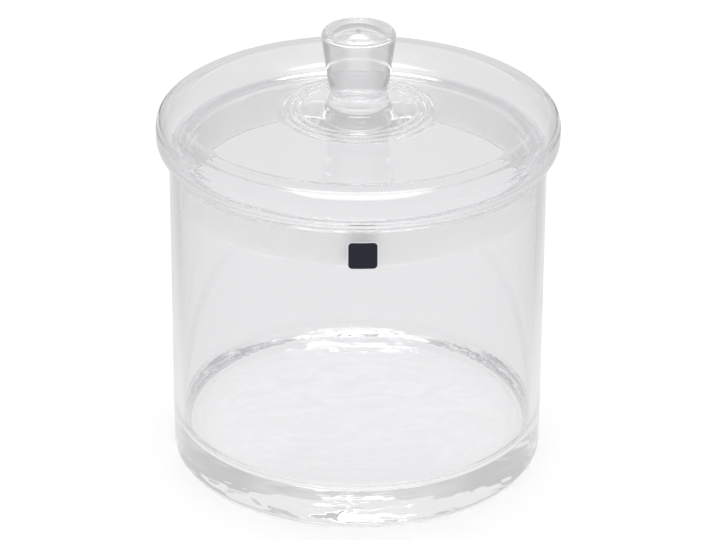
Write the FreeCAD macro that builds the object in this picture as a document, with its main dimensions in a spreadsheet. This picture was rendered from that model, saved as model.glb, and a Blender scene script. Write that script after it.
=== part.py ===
import FreeCAD, Part
import os
import Sketcher

# A clear glass storage jar with a thick base, and the blown lid that lifts off it. The lid is one
# thin hollow wall with a neck that drops into the jar, a milky plastic ring round that neck and a
# solid glass knob fused on top. A small square sticker is on the front of the jar. All sizes are
# in mm, +Z up, with the origin under the middle of the base and the front of the jar towards -Y.

doc = FreeCAD.newDocument("HerbKeeper")

# Driving dimensions
SIZES = {
    # The jar: outside radius, height of its rim, wall, and the thick base that gives it weight
    "jar_radius": 70.0,
    "jar_height": 121.0,
    "jar_wall": 3.5,
    "base_thickness": 12.5,
    "floor_corner_round": 7.0,
    "heel_round": 2.5,
    "jar_rim_bevel": 1.1,
    # The underside is ground to a flat ring round a shallow dish
    "foot_ring_width": 8.0,
    "dish_depth": 0.6,
    "dish_slope": 5.0,
    # The lid: how far it stands out past the jar, its even wall, its height over the shoulder
    # that rests on the rim, and how far its top falls from the knob to the level band inside
    # the crest
    "lid_overhang": 4.7,
    "lid_wall": 2.4,
    "lid_height": 16.4,
    "top_fall": 1.4,
    "crest_band": 6.0,
    "knob_seat_margin": 0.5,
    "crest_round": 4.6,
    "fold_round": 7.6,
    "least_round": 0.6,
    # The neck that drops into the jar, and the gap left where the shoulder rests on the rim
    "seat_gap": 0.2,
    "neck_drop": 15.0,
    "throat_bevel": 1.0,
    "neck_edge_bevel": 0.6,
    # The soft ring round the neck, with the slack that lets the lid lift out freely
    "seal_slack": 0.9,
    "seal_wall": 1.6,
    "seal_width": 13.4,
    "seal_overhang": 0.4,
    "seal_edge_bevel": 0.4,
    "stretch_gap": 0.03,
    # The knob, from its foot up: a wide flared foot, a short stem, a bead, a groove, and the
    # tapered grip with its flat top
    "foot_radius": 29.5,
    "foot_edge": 0.5,
    "stem_height": 1.9,
    "stem_radius": 11.6,
    "flare_reach": 5.0,
    "flare_round": 4.0,
    "bead_rise": 3.3,
    "bead_radius": 11.0,
    "groove_rise": 2.1,
    "groove_radius": 10.3,
    "waist_rise": 3.2,
    "waist_radius": 11.2,
    "waist_round": 2.0,
    "grip_length": 22.3,
    "grip_top_radius": 14.0,
    "grip_top_round": 2.8,
    "weld_gap": 0.02,
    # The sticker: a small square with round corners, laid round the wall under the rim, a little
    # right of centre
    "sticker_width": 10.3,
    "sticker_height": 10.2,
    "sticker_thickness": 0.25,
    "sticker_corner_round": 1.8,
    "sticker_drop": 8.8,
    "sticker_turn": 1.5,
    "glue_line": 0.03,
    # How far a cutting shape runs on past the face that it opens
    "cut_over": 2.0,
}

sheet = doc.addObject("Spreadsheet::Sheet", "Sizes")
for row, (alias, size) in enumerate(SIZES.items(), start=1):
    sheet.set(f"A{row}", alias)
    sheet.set(f"B{row}", str(size))
    sheet.setAlias(f"B{row}", alias)
doc.recompute()

# Places that several pieces share, as formulas in the sheet's names
BORE = "(jar_radius - jar_wall)"
SEAL_OUTSIDE = "(jar_radius - jar_wall - seal_slack)"
SEAL_INSIDE = "(jar_radius - jar_wall - seal_slack - seal_wall)"
NECK = "(jar_radius - jar_wall - seal_slack - seal_wall - stretch_gap)"
LID_OUTSIDE = "(jar_radius + lid_overhang)"
SHOULDER = "(jar_height + seat_gap)"
NECK_END = "(jar_height + seat_gap - neck_drop)"
LID_TOP = "(jar_height + seat_gap + lid_height)"
CREST = "(jar_height + seat_gap + lid_height - top_fall)"


def bound(words):
    """A formula in the sheet's names, as an expression that any object of the document can hold."""
    out = ""
    word = ""
    for mark in words + " ":
        if mark.isalnum() or mark == "_":
            word += mark
            continue
        out += "Sizes." + word if word in SIZES else word
        out += mark
        word = ""
    return out.strip()


def worth(words):
    """What such a formula comes to at present, as a plain number."""
    answer = sheet.evalExpression(bound(words))
    return float(getattr(answer, "Value", answer))


def new_body(label):
    body = doc.addObject("PartDesign::Body", label)
    body.Label = label
    return body


def plane(body, role):
    """One of the body's own origin planes."""
    return next(one for one in body.Origin.OriginFeatures if one.Role == role)


def half_section(body, name, corners):
    """A closed half section on the body's XZ plane, from corners that run anticlockwise.

    A corner is (radius, height), both formulas in the sheet's names.
    """
    edge_start, edge_end = 1, 2
    sketch = body.newObject("Sketcher::SketchObject", name)
    sketch.AttachmentSupport = (plane(body, "XZ_Plane"), [""])
    sketch.MapMode = "FlatFace"
    spots = [FreeCAD.Vector(worth(radius), worth(height), 0) for radius, height in corners]
    after = [*range(1, len(corners)), 0]
    for i, spot in enumerate(spots):
        sketch.addGeometry(Part.LineSegment(spot, spots[after[i]]), False)
    for i, (radius, height) in enumerate(corners):
        sketch.addConstraint(Sketcher.Constraint("Coincident", i, edge_end, after[i], edge_start))
        hold(sketch, i, "DistanceX", radius)
        hold(sketch, i, "DistanceY", height)
    sketch.Visibility = False
    return sketch


def hold(sketch, edge, kind, words):
    """Hold the start of an edge at a distance that follows the sheet, or on the axis itself."""
    edge_start = 1
    axis = {"DistanceX": -2, "DistanceY": -1}[kind]
    if words == "0":
        sketch.addConstraint(Sketcher.Constraint("PointOnObject", edge, edge_start, axis))
        return
    rule = sketch.addConstraint(Sketcher.Constraint(kind, edge, edge_start, worth(words)))
    sketch.setExpression(f"Constraints[{rule}]", bound(words))


def turn(body, kind, name, sketch):
    """Turn a half section once round the axis, to add to the body or to cut from it."""
    feature = body.newObject("PartDesign::" + kind, name)
    feature.Profile = sketch
    feature.ReferenceAxis = (sketch, ["V_Axis"])
    feature.Angle = 360.0
    doc.recompute()
    return feature


def ring_edge(feature, radius, height):
    """The name of the round edge that a feature has at this radius and height."""
    near = 1e-4 * feature.Shape.BoundBox.DiagonalLength
    for number, edge in enumerate(feature.Shape.Edges, start=1):
        if edge.Degenerated or not isinstance(edge.Curve, Part.Circle):
            continue
        if abs(edge.Curve.Radius - radius) < near and abs(edge.Curve.Center.z - height) < near:
            return f"Edge{number}"
    raise RuntimeError(f"{feature.Label} has no round edge of radius {radius:.2f} at {height:.2f}")


def ease(body, kind, name, edges, size):
    """Ease the named edges of the body's last feature, by a Fillet's radius or a Chamfer's size."""
    before = body.Tip
    feature = body.newObject("PartDesign::" + kind, name)
    feature.Base = (before, edges)
    measure = {"Fillet": "Radius", "Chamfer": "Size"}[kind]
    setattr(feature, measure, worth(size))
    feature.setExpression(measure, bound(size))
    doc.recompute()
    return feature


def ease_ring(body, kind, name, radius, height, size):
    """Ease the one round edge at this radius and height, both formulas in the sheet's names."""
    return ease(body, kind, name, [ring_edge(body.Tip, worth(radius), worth(height))], size)


# The jar: one turned form, thick in the base, with a dished underside and a fire-polished rim
jar = new_body("jar")
FOOT_RING = "(jar_radius - foot_ring_width)"
jar_section = half_section(jar, "jar_section", [
    ("0", "dish_depth"),
    (f"({FOOT_RING} - dish_slope)", "dish_depth"),
    (FOOT_RING, "0"),
    ("jar_radius", "0"),
    ("jar_radius", "jar_height"),
    (BORE, "jar_height"),
    (BORE, "base_thickness"),
    ("0", "base_thickness"),
])
turn(jar, "Revolution", "jar_wall_and_base", jar_section)
ease_ring(jar, "Fillet", "floor_corner", BORE, "base_thickness", "floor_corner_round")
ease_ring(jar, "Fillet", "heel", "jar_radius", "0", "heel_round")
ease_ring(jar, "Chamfer", "rim_outside", "jar_radius", "jar_height", "jar_rim_bevel")
ease_ring(jar, "Chamfer", "rim_inside", BORE, "jar_height", "jar_rim_bevel")

# The lid: a blown wall of even thickness. It runs from the neck out over the jar's rim, round the
# fold and the crest, and across the top; the same form, smaller by the wall, hollows it.
lid = new_body("lid")
KNOB_SEAT = "(foot_radius + knob_seat_margin)"
lid_section = half_section(lid, "lid_section", [
    ("0", NECK_END),
    (NECK, NECK_END),
    (NECK, SHOULDER),
    (LID_OUTSIDE, SHOULDER),
    (LID_OUTSIDE, CREST),
    (f"({LID_OUTSIDE} - crest_band)", CREST),
    (KNOB_SEAT, LID_TOP),
    ("0", LID_TOP),
])
turn(lid, "Revolution", "lid_outside", lid_section)
ease_ring(lid, "Chamfer", "throat_outside", NECK, SHOULDER, "throat_bevel")
ease_ring(lid, "Fillet", "fold_outside", LID_OUTSIDE, SHOULDER, "fold_round")
ease_ring(lid, "Fillet", "crest_outside", LID_OUTSIDE, CREST, "crest_round")

HOLLOW_SIDE = f"({LID_OUTSIDE} - lid_wall)"
HOLLOW_TOP = f"({LID_TOP} - lid_wall)"
HOLLOW_CREST = f"({CREST} - lid_wall)"
THROAT = f"({NECK} - lid_wall)"
SHELF = f"({SHOULDER} + lid_wall)"
hollow_section = half_section(lid, "hollow_section", [
    ("0", f"({NECK_END} - cut_over)"),
    (THROAT, f"({NECK_END} - cut_over)"),
    (THROAT, SHELF),
    (HOLLOW_SIDE, SHELF),
    (HOLLOW_SIDE, HOLLOW_CREST),
    (f"({LID_OUTSIDE} - crest_band)", HOLLOW_CREST),
    (KNOB_SEAT, HOLLOW_TOP),
    ("0", HOLLOW_TOP),
])
turn(lid, "Groove", "lid_inside", hollow_section)
# The slopes inside the throat and the crest are set back so far that the wall stays even there
ease_ring(lid, "Chamfer", "throat_inside", THROAT, SHELF, "throat_bevel + lid_wall * (2 - sqrt(2))")
ease_ring(lid, "Fillet", "fold_inside", HOLLOW_SIDE, SHELF, "max(fold_round - lid_wall; least_round)")
ease_ring(lid, "Chamfer", "crest_inside", HOLLOW_SIDE, HOLLOW_CREST,
          "max((crest_round - lid_wall) * (2 - sqrt(2)); least_round)")
ease_ring(lid, "Chamfer", "neck_edge_outside", NECK, NECK_END, "neck_edge_bevel")
ease_ring(lid, "Chamfer", "neck_edge_inside", THROAT, NECK_END, "neck_edge_bevel")

# The ring round the neck: soft translucent plastic, a plain band with its edges eased
seal_ring = new_body("seal_ring")
SEAL_BOTTOM = f"({NECK_END} - seal_overhang)"
SEAL_TOP = f"({NECK_END} - seal_overhang + seal_width)"
band_section = half_section(seal_ring, "band_section", [
    (SEAL_INSIDE, SEAL_BOTTOM),
    (SEAL_OUTSIDE, SEAL_BOTTOM),
    (SEAL_OUTSIDE, SEAL_TOP),
    (SEAL_INSIDE, SEAL_TOP),
])
turn(seal_ring, "Revolution", "band", band_section)
for name, radius, level in (
    ("lower_outside", SEAL_OUTSIDE, SEAL_BOTTOM),
    ("upper_outside", SEAL_OUTSIDE, SEAL_TOP),
    ("lower_inside", SEAL_INSIDE, SEAL_BOTTOM),
    ("upper_inside", SEAL_INSIDE, SEAL_TOP),
):
    ease_ring(seal_ring, "Chamfer", name, radius, level, "seal_edge_bevel")

# The knob: solid glass pressed in a mould and fused by its foot to the flat middle of the lid. Its
# levels are stacked one on the other from the top of the lid.
knob = new_body("knob")
KNOB_BED = f"({LID_TOP} + weld_gap)"
STEM = f"({LID_TOP} + stem_height)"
BEAD = f"({STEM} + bead_rise)"
GROOVE = f"({BEAD} + groove_rise)"
WAIST = f"({GROOVE} + waist_rise)"
GRIP_TOP = f"({WAIST} + grip_length)"
knob_section = half_section(knob, "knob_section", [
    ("0", KNOB_BED),
    ("foot_radius", KNOB_BED),
    ("foot_radius", f"({KNOB_BED} + foot_edge)"),
    ("stem_radius + flare_reach", STEM),
    ("stem_radius", STEM),
    ("bead_radius", BEAD),
    ("groove_radius", GROOVE),
    ("waist_radius", WAIST),
    ("grip_top_radius", GRIP_TOP),
    ("0", GRIP_TOP),
])
turn(knob, "Revolution", "knob_form", knob_section)
ease_ring(knob, "Fillet", "flare", "stem_radius", STEM, "flare_round")
ease_ring(knob, "Fillet", "waist", "waist_radius", WAIST, "waist_round")
ease_ring(knob, "Fillet", "grip_top", "grip_top_radius", GRIP_TOP, "grip_top_round")

# The sticker: a rectangle beside the wall, turned through the angle that gives it its width and
# then swung round to the front
front_label = new_body("front_label")
STICKER_BACK = "(jar_radius + glue_line)"
STICKER_FACE = "(jar_radius + glue_line + sticker_thickness)"
STICKER_LOW = "(jar_height - sticker_drop - sticker_height / 2)"
STICKER_HIGH = "(jar_height - sticker_drop + sticker_height / 2)"
sticker_section = half_section(front_label, "sticker_section", [
    (STICKER_BACK, STICKER_LOW),
    (STICKER_FACE, STICKER_LOW),
    (STICKER_FACE, STICKER_HIGH),
    (STICKER_BACK, STICKER_HIGH),
])
wrap = turn(front_label, "Revolution", "sticker_wrap", sticker_section)
wrap.Midplane = True
wrap.setExpression("Angle", bound("sticker_width / jar_radius") + " * 180 deg / pi")
doc.recompute()
corners = [
    f"Edge{number}"
    for number, edge in enumerate(wrap.Shape.Edges, start=1)
    if isinstance(edge.Curve, Part.Line) and edge.Length < 2 * worth("sticker_thickness")
]
ease(front_label, "Fillet", "sticker_corners", corners, "sticker_corner_round")
front_label.Placement = FreeCAD.Placement(FreeCAD.Vector(), FreeCAD.Rotation(FreeCAD.Vector(0, 0, 1), -90))
front_label.setExpression("Placement.Rotation.Angle", bound("sticker_turn") + " * 1 deg - 90 deg")
doc.recompute()

# Every object has to be sound before any piece is written
for one in doc.Objects:
    if "Invalid" in one.State or "Error" in one.State:
        raise RuntimeError(f"{one.Label} did not recompute: {one.State}")
PIECES = [jar, front_label, lid, seal_ring, knob]
os.makedirs("parts", exist_ok=True)
for piece in PIECES:
    shape = piece.Shape
    if shape.isNull() or not shape.isValid() or len(shape.Solids) != 1:
        raise RuntimeError(f"{piece.Label} is not one valid solid")
    shape.exportStep(f"parts/{piece.Label}.step")
    box = shape.BoundBox
    print(f"{piece.Label}: {shape.Volume / 1000:.2f} cm3, {box.ZMin:.2f} to {box.ZMax:.2f} mm high")
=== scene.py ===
import math

import bmesh
import bpy
from mathutils import Matrix, Vector


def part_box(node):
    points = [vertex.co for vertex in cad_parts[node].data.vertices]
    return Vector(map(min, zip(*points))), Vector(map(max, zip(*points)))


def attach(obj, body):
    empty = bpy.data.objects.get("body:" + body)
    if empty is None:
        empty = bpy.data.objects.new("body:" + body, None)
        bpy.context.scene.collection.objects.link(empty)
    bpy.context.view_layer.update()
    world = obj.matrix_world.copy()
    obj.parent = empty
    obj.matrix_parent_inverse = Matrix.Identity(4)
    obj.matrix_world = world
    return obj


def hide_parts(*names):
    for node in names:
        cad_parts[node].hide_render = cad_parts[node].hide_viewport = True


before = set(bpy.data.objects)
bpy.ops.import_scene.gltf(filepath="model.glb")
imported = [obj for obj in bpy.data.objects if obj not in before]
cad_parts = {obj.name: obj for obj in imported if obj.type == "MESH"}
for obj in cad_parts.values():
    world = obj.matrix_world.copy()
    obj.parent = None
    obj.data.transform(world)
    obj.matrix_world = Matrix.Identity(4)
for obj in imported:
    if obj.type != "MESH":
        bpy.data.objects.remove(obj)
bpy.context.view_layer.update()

# A clear glass storage jar with a thick base, seen on a white table. Sizes are in millimetres
# and become metres where the meshes are made, with +Z up and the front of the jar towards -Y.
MM = 0.001


# The jar: clear soda-lime glass, blown in a turning mould. Its wall is thin, its base is thick and
# has a shallow dish ground into the underside, and its mouth is melted to a full round.
def linear(code):
    """An sRGB hex colour such as #22273D as linear red, green, blue and alpha."""
    parts = [int(code[i:i + 2], 16) / 255 for i in (1, 3, 5)]
    return (*[c / 12.92 if c <= 0.04045 else ((c + 0.055) / 1.055) ** 2.4 for c in parts], 1)


def add(tree, kind, links=None, **settings):
    """A node with its settings and sockets. A socket is a value, or another node's output."""
    node = tree.nodes.new(kind)
    for name, value in settings.items():
        setattr(node, name, value)
    for name, value in (links or {}).items():
        if isinstance(value, bpy.types.NodeSocket):
            tree.links.new(value, node.inputs[name])
        else:
            node.inputs[name].default_value = value
    return node


def new_finish(name):
    """An empty material with its tree, and the output node that ends it."""
    material = bpy.data.materials.new(name)
    material.use_nodes = True
    material.node_tree.nodes.clear()
    return material, material.node_tree, add(material.node_tree, "ShaderNodeOutputMaterial")


TURN_STEPS = 192
MERGE_GAP = 0.002


def turned(name, corners, closed=False, segments=10):
    """A solid turned round Z from (radius, height, rounding) corners in millimetres."""
    shape = bmesh.new()
    verts = [shape.verts.new((radius * MM, 0, height * MM)) for radius, height, _ in corners]
    for here, there in zip(verts, verts[1:] + verts[:1] if closed else verts[1:]):
        shape.edges.new((here, there))
    for vert, (_, _, rounding) in zip(verts, corners):
        if rounding:
            bmesh.ops.bevel(shape, geom=[vert], offset=rounding * MM, offset_type="OFFSET",
                            segments=segments, profile=0.5, affect="VERTICES", material=-1)
    bmesh.ops.spin(shape, geom=shape.verts[:] + shape.edges[:], cent=(0, 0, 0), axis=(0, 0, 1),
                   angle=2 * math.pi, steps=TURN_STEPS, use_merge=True)
    bmesh.ops.remove_doubles(shape, verts=shape.verts, dist=MERGE_GAP * MM)
    bmesh.ops.recalc_face_normals(shape, faces=shape.faces)
    return piece_from(shape, name)


SORT_WAY = Vector((1.0, 0.6180339, 0.4142135))


def put_in_order(shape):
    """Sort points by place and faces by their points: the operators leave an order that varies."""
    shape.verts.sort(key=lambda vert: vert.co.dot(SORT_WAY))
    shape.verts.index_update()
    count = len(shape.verts)

    def rank(face):
        low, middle, high = sorted(vert.index for vert in face.verts)[:3]
        return (low * count + middle) * count + high

    shape.faces.sort(key=rank)


def piece_from(shape, name):
    """A smooth-shaded object made from a bmesh, whose large faces keep their true direction."""
    put_in_order(shape)
    mesh = bpy.data.meshes.new(name)
    shape.to_mesh(mesh)
    shape.free()
    mesh.shade_smooth()
    piece = bpy.data.objects.new(name, mesh)
    bpy.context.scene.collection.objects.link(piece)
    even = piece.modifiers.new("true_faces", "WEIGHTED_NORMAL")
    even.weight = 100
    return piece


GLASS_TINT = "#FCFCFD"
GLASS_IOR = 1.5
WAVE_HEIGHT = 0.05
MARK_SPACING = 2.6
MARK_STRETCH = 0.03
LUMP_LENGTH = 23.0
LUMP_HEIGHT = 0.36
LUMPS_FULL = 4.0
LUMPS_GONE = 11.0


def clear_glass(name, wave_length, mark_height):
    """Fire-polished soda-lime glass: dead smooth, with the slow waves that blowing leaves in a wall,
    the fine rings that the turning mould leaves round it, and below LUMPS_GONE the lumps of a foot
    that stood hot. They bend what is seen through it into soft streaks and swirls."""
    material, tree, out = new_finish(name)
    place = add(tree, "ShaderNodeTexCoord")
    waves = add(tree, "ShaderNodeTexNoise", {
        "Vector": place.outputs["Object"],
        "Scale": 1 / (wave_length * MM),
        "Detail": 1.0,
        "Roughness": 0.4,
    })
    dents = add(tree, "ShaderNodeBump", {
        "Height": waves.outputs["Fac"],
        "Distance": WAVE_HEIGHT * MM,
        "Strength": 1.0,
    })
    bands = add(tree, "ShaderNodeMapping", {
        "Vector": place.outputs["Object"], "Scale": (MARK_STRETCH, MARK_STRETCH, 1)})
    rings = add(tree, "ShaderNodeTexNoise", {
        "Vector": bands.outputs[0], "Scale": 1 / (MARK_SPACING * MM), "Detail": 1.0})
    marks = add(tree, "ShaderNodeBump", {
        "Height": rings.outputs["Fac"],
        "Distance": mark_height * MM,
        "Strength": 1.0,
        "Normal": dents.outputs["Normal"],
    })
    low = add(tree, "ShaderNodeSeparateXYZ", {0: place.outputs["Object"]})
    under = add(tree, "ShaderNodeMapRange", {
        "Value": low.outputs["Z"],
        "From Min": LUMPS_FULL * MM,
        "From Max": LUMPS_GONE * MM,
        "To Min": 1.0,
        "To Max": 0.0,
    })
    lumps = add(tree, "ShaderNodeTexNoise", {
        "Vector": place.outputs["Object"],
        "Scale": 1 / (LUMP_LENGTH * MM),
        "Detail": 0.8,
        "Distortion": 1.5,
    })
    heap = add(tree, "ShaderNodeMath", {
        0: lumps.outputs["Fac"], 1: under.outputs[0]}, operation="MULTIPLY")
    lumpy = add(tree, "ShaderNodeBump", {
        "Height": heap.outputs[0],
        "Distance": LUMP_HEIGHT * MM,
        "Strength": 1.0,
        "Normal": marks.outputs["Normal"],
    })
    shader = add(tree, "ShaderNodeBsdfPrincipled", {
        "Base Color": linear(GLASS_TINT),
        "Transmission Weight": 1.0,
        "Roughness": 0.0,
        "IOR": GLASS_IOR,
        "Normal": lumpy.outputs["Normal"],
    })
    tree.links.new(shader.outputs[0], out.inputs[0])
    return material


JAR_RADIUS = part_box("jar")[1].x / MM
JAR_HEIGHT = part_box("jar")[1].z / MM
JAR_WALL = 3.5
JAR_BORE = JAR_RADIUS - JAR_WALL
BASE_TOP = 12.5
DISH_DEPTH = 0.6
FOOT_RING = 8.0
FOOT_ROUND = 2.0
HEEL_ROUND = 2.5
FLOOR_ROUND = 7.0
RIM_ROUND = 1.7

jar = turned("jar_body", [
    (0, DISH_DEPTH, 0),
    (JAR_RADIUS - FOOT_RING, 0, FOOT_ROUND),
    (JAR_RADIUS, 0, HEEL_ROUND),
    (JAR_RADIUS, JAR_HEIGHT, RIM_ROUND),
    (JAR_BORE, JAR_HEIGHT, RIM_ROUND),
    (JAR_BORE, BASE_TOP, FLOOR_ROUND),
    (0, BASE_TOP, 0),
])
jar.data.materials.append(
    clear_glass("soda_lime_glass_blown", wave_length=34.0, mark_height=0.012))
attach(jar, "jar")
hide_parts("jar")

# The sticker: a small square of navy film with a gloss face, a pale back and a thin pale cut edge
# round its face, pressed onto the wall under the rim. It is plain, with round corners.
sticker_low, sticker_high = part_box("front_label")
STICKER_WIDTH = 11.05
STICKER_ROUND = 1.8
STICKER_EDGE = 0.35
STICKER_BACK = JAR_RADIUS + 0.03
STICKER_CUTS = 14
STICKER_THICK = 0.25
STICKER_TURN = math.radians(1.5)
sticker_height = sticker_high.z - sticker_low.z + 2 * STICKER_EDGE * MM
sticker_middle = (sticker_high.z + sticker_low.z) / 2

sheet = bmesh.new()
bmesh.ops.create_grid(sheet, x_segments=1, y_segments=1, size=0.5)
bmesh.ops.scale(sheet, verts=sheet.verts, vec=(STICKER_WIDTH * MM, sticker_height, 1))
bmesh.ops.bevel(sheet, geom=sheet.verts[:], offset=STICKER_ROUND * MM, offset_type="OFFSET",
                segments=8, profile=0.5, affect="VERTICES", material=-1)
edging = bmesh.ops.inset_region(sheet, faces=sheet.faces[:], thickness=STICKER_EDGE * MM,
                                use_boundary=True)
for face in edging["faces"]:
    face.material_index = 1
bmesh.ops.rotate(sheet, verts=sheet.verts, matrix=Matrix.Rotation(math.pi / 2, 3, "X"))
for i in range(1, STICKER_CUTS):
    across = (i / STICKER_CUTS - 0.5) * STICKER_WIDTH * MM
    bmesh.ops.bisect_plane(sheet, geom=sheet.verts[:] + sheet.edges[:] + sheet.faces[:],
                           plane_co=(across, 0, 0), plane_no=(1, 0, 0))
face_side = bmesh.ops.extrude_face_region(sheet, geom=sheet.faces[:])
bmesh.ops.translate(sheet, vec=(0, -STICKER_THICK * MM, 0),
                    verts=[one for one in face_side["geom"]
                           if isinstance(one, bmesh.types.BMVert)])
bmesh.ops.recalc_face_normals(sheet, faces=sheet.faces)
for face in sheet.faces:
    if face.normal.y > 0.5:
        face.material_index = 1
for vert in sheet.verts:
    turn = vert.co.x / (JAR_RADIUS * MM) + STICKER_TURN
    out = STICKER_BACK * MM - vert.co.y
    vert.co = Vector((out * math.sin(turn), -out * math.cos(turn), vert.co.z + sticker_middle))
sticker = piece_from(sheet, "sticker")


FILM_GRAIN = 1.111


def gloss_film(name, colour, roughness):
    """Printed plastic film: even ink under a gloss face that is faintly uneven from the press."""
    material, tree, out = new_finish(name)
    place = add(tree, "ShaderNodeTexCoord")
    grain = add(tree, "ShaderNodeTexNoise", {
        "Vector": place.outputs["Object"], "Scale": 1 / (FILM_GRAIN * MM), "Detail": 2.0})
    press = add(tree, "ShaderNodeBump", {
        "Height": grain.outputs["Fac"], "Distance": 0.01 * MM, "Strength": 0.6})
    shader = add(tree, "ShaderNodeBsdfPrincipled", {
        "Base Color": linear(colour),
        "Roughness": roughness,
        "IOR": 1.45,
        "Normal": press.outputs["Normal"],
    })
    tree.links.new(shader.outputs[0], out.inputs[0])
    return material


sticker.data.materials.append(gloss_film("navy_gloss_film", "#0A0F22", 0.28))
sticker.data.materials.append(gloss_film("pale_film_edge", "#E8EAEE", 0.5))
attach(sticker, "jar")
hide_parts("front_label")

# The lid and its knob: one piece of clear glass. The lid is blown hollow, one thin wall that runs
# from its neck out over the rim, round the fold and across the top. The knob is pressed solid and
# melted onto it while hot, so the two flow together in a wide shallow flare with fine ridges.
LID_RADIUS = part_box("lid")[1].x / MM
LID_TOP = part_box("lid")[1].z / MM
NECK_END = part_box("lid")[0].z / MM
KNOB_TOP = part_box("knob")[1].z / MM
LID_WALL = 2.4
NECK_RADIUS = 63.97
SHOULDER = JAR_HEIGHT + 0.2
FOLD_ROUND = 7.6
THROAT_ROUND = 1.6
NECK_ROUND = 0.8
KNOB_RADIUS = 14.0
KNOB_CROWN = 1.1
WAIST_RADIUS = 11.2
GRIP_LENGTH = 22.3
GROOVE_RADIUS = 10.3
GROOVE_DROP = 25.3
BEAD_RADIUS = 11.0
BEAD_DROP = 27.4
STEM_RADIUS = 11.5
STEM_RISE = 2.2
FLARE_RADIUS = 20
FLARE_FALL = 0.07
RIDGES = (22.6, 25.5, 28.4)
RIDGE_WIDTH = 1.4
RIDGE_FOOT = 0.45
RIDGE_CREST = 0.85
RIDGE_ROUND = 0.6


def one_wall_in(corners, wall):
    """The corners of the other face of an even wall, in the same order, one wall to the right."""
    runs = [(Vector(there[:2]) - Vector(here[:2])).normalized()
            for here, there in zip(corners, corners[1:])]
    sides = [Vector((run.y, -run.x)) for run in runs]
    inner = []
    before, after = [sides[0]] + sides, sides + [sides[-1]]
    for (radius, height, rounding), one, other in zip(corners, before, after):
        place = Vector((radius, height)) + (one + other) * wall / (1 + one.dot(other))
        turn = math.atan2(one.cross(other), one.dot(other))
        inner.append((place.x, place.y, rounding + wall * math.tan(turn / 2) if rounding else 0))
    return inner


flare = [(14.5, LID_TOP + 1.55, 2.0), (19.0, LID_TOP + 0.85, 2.0)]
for radius in RIDGES:
    fall = FLARE_FALL * (radius - FLARE_RADIUS)
    flare.append((radius - RIDGE_WIDTH, LID_TOP + RIDGE_FOOT - fall, RIDGE_ROUND))
    flare.append((radius, LID_TOP + RIDGE_CREST - fall, RIDGE_ROUND))

# The top is dished a little: it rises to the crest, bends down softly there, and then drops.
blown = [
    (30.0, LID_TOP - 0.1, 0.8),
    (67.5, LID_TOP + 0.9, 2.4),
    (72.6, LID_TOP - 0.6, 2.0),
    (74.1, LID_TOP - 2.6, 0.48),
    (LID_RADIUS, LID_TOP - 4.6, 0.8),
    (LID_RADIUS, SHOULDER, FOLD_ROUND),
    (NECK_RADIUS, SHOULDER, THROAT_ROUND),
]
lid = turned("lid_with_knob", [
    (0, KNOB_TOP, 0),
    (KNOB_RADIUS, KNOB_TOP - KNOB_CROWN, 2.6),
    (WAIST_RADIUS, KNOB_TOP - GRIP_LENGTH, 2.0),
    (GROOVE_RADIUS, KNOB_TOP - GROOVE_DROP, 1.2),
    (BEAD_RADIUS, KNOB_TOP - BEAD_DROP, 1.0),
    (STEM_RADIUS, LID_TOP + STEM_RISE, 1.6),
    *flare,
    *blown,
    (NECK_RADIUS, NECK_END, NECK_ROUND),
    (NECK_RADIUS - LID_WALL, NECK_END, NECK_ROUND),
    *reversed(one_wall_in([(0, LID_TOP, 0), *blown], LID_WALL)),
])
lid.data.materials.append(
    clear_glass("soda_lime_glass_lid", wave_length=30.0, mark_height=0.0005))
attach(lid, "lid")
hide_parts("lid", "knob")

# The ring: a band of soft milky plastic, moulded and stretched onto the neck of the lid, where it
# closes the gap to the jar. It lets some light through and has a satin face.
seal_low, seal_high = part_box("seal_ring")
SEAL_OUTSIDE = seal_high.x / MM
SEAL_WALL = 1.6
SEAL_INSIDE = SEAL_OUTSIDE - SEAL_WALL
SEAL_ROUND = 0.45
CLOUD_LENGTH = 16.667
LIGHT_REACH = 10.0

seal = turned("seal_ring_band", [
    (SEAL_INSIDE, seal_low.z / MM, SEAL_ROUND),
    (SEAL_OUTSIDE, seal_low.z / MM, SEAL_ROUND),
    (SEAL_OUTSIDE, seal_high.z / MM, SEAL_ROUND),
    (SEAL_INSIDE, seal_high.z / MM, SEAL_ROUND),
], closed=True, segments=4)


def milky_plastic(name, colour):
    """Low-density polyethylene: cloudy, soft and satin, with faint mould clouds."""
    material, tree, out = new_finish(name)
    place = add(tree, "ShaderNodeTexCoord")
    clouds = add(tree, "ShaderNodeTexNoise", {
        "Vector": place.outputs["Object"], "Scale": 1 / (CLOUD_LENGTH * MM), "Detail": 2.0})
    face = add(tree, "ShaderNodeBump", {
        "Height": clouds.outputs["Fac"], "Distance": 0.05 * MM, "Strength": 0.5})
    shader = add(tree, "ShaderNodeBsdfPrincipled", {
        "Base Color": linear(colour),
        "Roughness": 0.45,
        "IOR": 1.5,
        "Subsurface Weight": 1.0,
        "Subsurface Radius": (1.0, 1.0, 0.95),
        "Subsurface Scale": LIGHT_REACH * MM,
        "Normal": face.outputs["Normal"],
    })
    tree.links.new(shader.outputs[0], out.inputs[0])
    return material


seal.data.materials.append(milky_plastic("milky_polyethylene", "#EFEEEA"))
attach(seal, "lid")
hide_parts("seal_ring")

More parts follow.
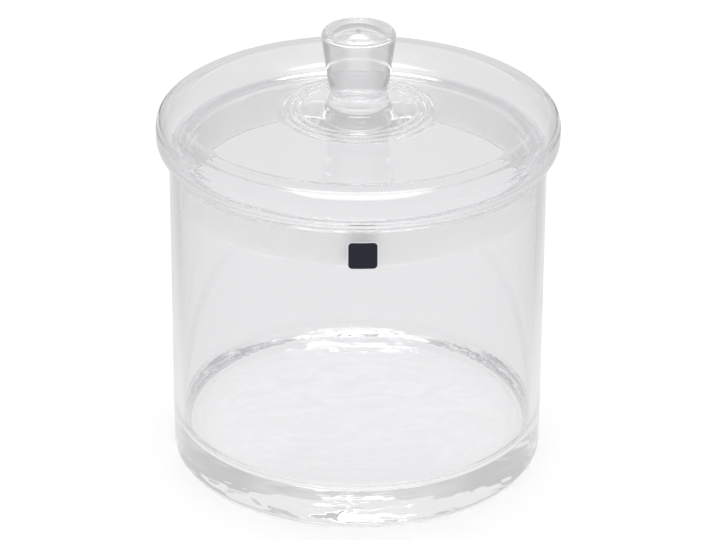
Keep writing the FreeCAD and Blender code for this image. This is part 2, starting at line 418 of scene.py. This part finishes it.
# The table: a white laminate top that runs on past the picture. The camera sees it white where no
# shadow falls. Glass bends and mirrors it at levels graded by place, which give the glass its greys;
# the darker levels beside and in front of the jar are a painted shadow of the jar, which this
# glowing top does not otherwise show in the glass. Light that has already been scattered finds it at
# SOFT_LEVEL, to make up for what glass takes.
TABLE_DROP = 0.2
TABLE_RADIUS = 3000.0
TABLE_GLOW = 0.22
TABLE_UNDER_LEVEL = 0.9
TABLE_LEVEL = 0.86
TABLE_SIDE_SHADOW_LEVEL = 0.64
TABLE_FRONT_SHADOW_LEVEL = 0.72
TABLE_FAR_LEVEL = 0.66
TABLE_CORNER_LEVEL = 0.42
SOFT_LEVEL = 1.75
table = bmesh.new()
bmesh.ops.create_circle(table, cap_ends=True, radius=TABLE_RADIUS * MM, segments=96)
bmesh.ops.translate(table, verts=table.verts, vec=(0, 0, -TABLE_DROP * MM))
table_mesh = bpy.data.meshes.new("table_top")
table.to_mesh(table_mesh)
table.free()
table_top = bpy.data.objects.new("table_top", table_mesh)
bpy.context.scene.collection.objects.link(table_top)
white, tree, out = new_finish("white_laminate")


def graded(tree, level, steps):
    """A light level that changes smoothly along coordinates. Each step is a coordinate, where its
    change starts and ends (metres on the table, parts of 1 in a direction), which end takes the
    new level, and that level."""
    for along, start, end, side, new_level in steps:
        share = add(tree, "ShaderNodeMapRange", {
            "Value": along,
            "From Min": start,
            "From Max": end,
            "To Min": 1.0 if side == "low" else 0.0,
            "To Max": 0.0 if side == "low" else 1.0,
        }, interpolation_type="SMOOTHSTEP")
        level = add(tree, "ShaderNodeMix", {
            "Factor": share.outputs[0], "A": level, "B": new_level}, data_type="FLOAT").outputs[0]
    return level


rays = add(tree, "ShaderNodeLightPath")
place = add(tree, "ShaderNodeTexCoord").outputs["Object"]
spot = add(tree, "ShaderNodeSeparateXYZ", {0: place})
aside = add(tree, "ShaderNodeMath", {0: spot.outputs["X"]}, operation="ABSOLUTE").outputs[0]
reach = add(tree, "ShaderNodeVectorMath", {0: place}, operation="LENGTH").outputs["Value"]
far = graded(tree, TABLE_FAR_LEVEL, [(aside, 0.4, 0.6, "high", TABLE_CORNER_LEVEL)])
# Painted shadow of the jar: seen only in the glass, the level falls beside the jar and in front of
# it.
lit = graded(tree, TABLE_UNDER_LEVEL, [
    (reach, 0.05, 0.085, "high", TABLE_LEVEL),
    (aside, 0.06, 0.2, "high", TABLE_SIDE_SHADOW_LEVEL),
    (spot.outputs["Y"], -0.15, -0.06, "low", TABLE_FRONT_SHADOW_LEVEL),
    (reach, 0.35, 0.9, "high", far),
])
soft = add(tree, "ShaderNodeMath", {
    0: rays.outputs["Diffuse Depth"], 1: 0.5}, operation="GREATER_THAN")
lit = add(tree, "ShaderNodeMix", {
    "Factor": soft.outputs[0], "A": lit, "B": SOFT_LEVEL}, data_type="FLOAT").outputs[0]
top = add(tree, "ShaderNodeBsdfPrincipled", {
    "Base Color": linear("#EDEDED"),
    "Roughness": 0.6,
    "Specular IOR Level": 0.2,
    "Emission Color": (1, 1, 1, 1),
    "Emission Strength": TABLE_GLOW,
})
bright = add(tree, "ShaderNodeEmission", {"Strength": lit})
bends = add(tree, "ShaderNodeMath", {
    0: rays.outputs["Is Glossy Ray"],
    1: rays.outputs["Is Transmission Ray"],
}, operation="MAXIMUM")
seen = add(tree, "ShaderNodeMixShader", {
    0: bends.outputs[0], 1: top.outputs[0], 2: bright.outputs[0]})
tree.links.new(seen.outputs[0], out.inputs[0])
table_mesh.materials.append(white)

# The studio: a white room. Glass mirrors and bends it at levels by direction: paler behind the jar,
# a low window there, a bright panel overhead, and a dimmer side behind the camera. The camera and
# plain light find it at 1, and light scattered inside the glass at SOFT_LEVEL to SOFT_TOP_LEVEL.
WALL_LEVEL = 0.57
BACK_LEVEL = 0.72
CAMERA_SIDE_LEVEL = 0.5
WINDOW_LEVEL = 1.15
OVERHEAD_LEVEL = 5.4
SOFT_TOP_LEVEL = 3.3
scene = bpy.context.scene
room = bpy.data.worlds.new("studio")
room.use_nodes = True
scene.world = room
tree = room.node_tree
tree.nodes.clear()
out = add(tree, "ShaderNodeOutputWorld")
rays = add(tree, "ShaderNodeLightPath")
place = add(tree, "ShaderNodeTexCoord")
way = add(tree, "ShaderNodeSeparateXYZ", {0: place.outputs["Generated"]})
aside = add(tree, "ShaderNodeMath", {0: way.outputs["X"]}, operation="ABSOLUTE").outputs[0]
back, up = way.outputs["Y"], way.outputs["Z"]

walls = graded(tree, BACK_LEVEL, [
    (aside, 0.25, 0.5, "high", WALL_LEVEL),
    (back, -0.6, -0.3, "low", CAMERA_SIDE_LEVEL),
    (up, 0.5, 0.6, "high", WALL_LEVEL),
])
# Each of these two is 1 inside its pane and falls to 0 at the pane's edges.
window = graded(tree, 1.0, [
    (up, 0.43, 0.445, "low", 0.0),
    (up, 0.487, 0.5, "high", 0.0),
    (aside, 0.12, 0.14, "high", 0.0),
    (back, 0.0, 0.1, "low", 0.0),
])
overhead = graded(tree, 1.0, [
    (aside, 0.29, 0.33, "high", 0.0),
    (up, 0.9, 0.94, "low", 0.0),
])
for pane, pane_level in ((window, WINDOW_LEVEL), (overhead, OVERHEAD_LEVEL)):
    walls = add(tree, "ShaderNodeMix", {
        "Factor": pane, "A": walls, "B": pane_level}, data_type="FLOAT").outputs[0]
glow = graded(tree, SOFT_LEVEL, [(up, 0.3, 0.8, "high", SOFT_TOP_LEVEL)])
through = add(tree, "ShaderNodeMapRange", {
    "Value": rays.outputs["Is Transmission Ray"], "To Min": 1.0, "To Max": glow})
bends = add(tree, "ShaderNodeMath", {
    0: rays.outputs["Is Glossy Ray"],
    1: rays.outputs["Is Transmission Ray"],
}, operation="MAXIMUM")
straight = add(tree, "ShaderNodeMath", {
    0: rays.outputs["Diffuse Depth"], 1: 0.5}, operation="LESS_THAN")
by_glass = add(tree, "ShaderNodeMath", {
    0: bends.outputs[0], 1: straight.outputs[0]}, operation="MULTIPLY")
level = add(tree, "ShaderNodeMix", {
    "Factor": by_glass.outputs[0], "A": through.outputs[0], "B": walls}, data_type="FLOAT")
light = add(tree, "ShaderNodeBackground", {"Color": (1, 1, 1, 1), "Strength": level.outputs[0]})
tree.links.new(light.outputs[0], out.inputs[0])

# The camera: a long lens a little above the jar, which looks down at it by about 27 degrees.
CAMERA_RISE = math.radians(26.652)
CAMERA_REACH = 1323.19
CAMERA_ROLL = math.radians(0.282)
AIM_HEIGHT = 70.0
FRAME_WIDTH = 716
FRAME_HEIGHT = 540
FOCAL_PIXELS = 3510.88
MIDDLE_X = 357.594
MIDDLE_Y = 273.582
SENSOR = 36
BOUNCES = 200
lens = bpy.data.cameras.new("camera")
lens.sensor_width = SENSOR
lens.lens = FOCAL_PIXELS / FRAME_WIDTH * SENSOR
lens.shift_x = (FRAME_WIDTH / 2 - MIDDLE_X) / FRAME_WIDTH
lens.shift_y = (MIDDLE_Y - FRAME_HEIGHT / 2) / FRAME_WIDTH
lens.clip_end = 20
camera = bpy.data.objects.new("camera", lens)
scene.collection.objects.link(camera)
camera.location = (0, -CAMERA_REACH * MM * math.cos(CAMERA_RISE),
                   (AIM_HEIGHT + CAMERA_REACH * math.sin(CAMERA_RISE)) * MM)
camera.matrix_world = (Matrix.Translation(camera.location)
                       @ Matrix.Rotation(math.pi / 2 - CAMERA_RISE, 4, "X")
                       @ Matrix.Rotation(CAMERA_ROLL, 4, "Z"))
scene.camera = camera

scene.view_settings.view_transform = "Standard"
# Light turns many times inside the thick glass. With fewer bounces black lines are left there.
scene.cycles.max_bounces = BOUNCES
scene.cycles.transmission_bounces = BOUNCES
scene.cycles.glossy_bounces = BOUNCES
scene.cycles.caustics_refractive = True
scene.cycles.caustics_reflective = True
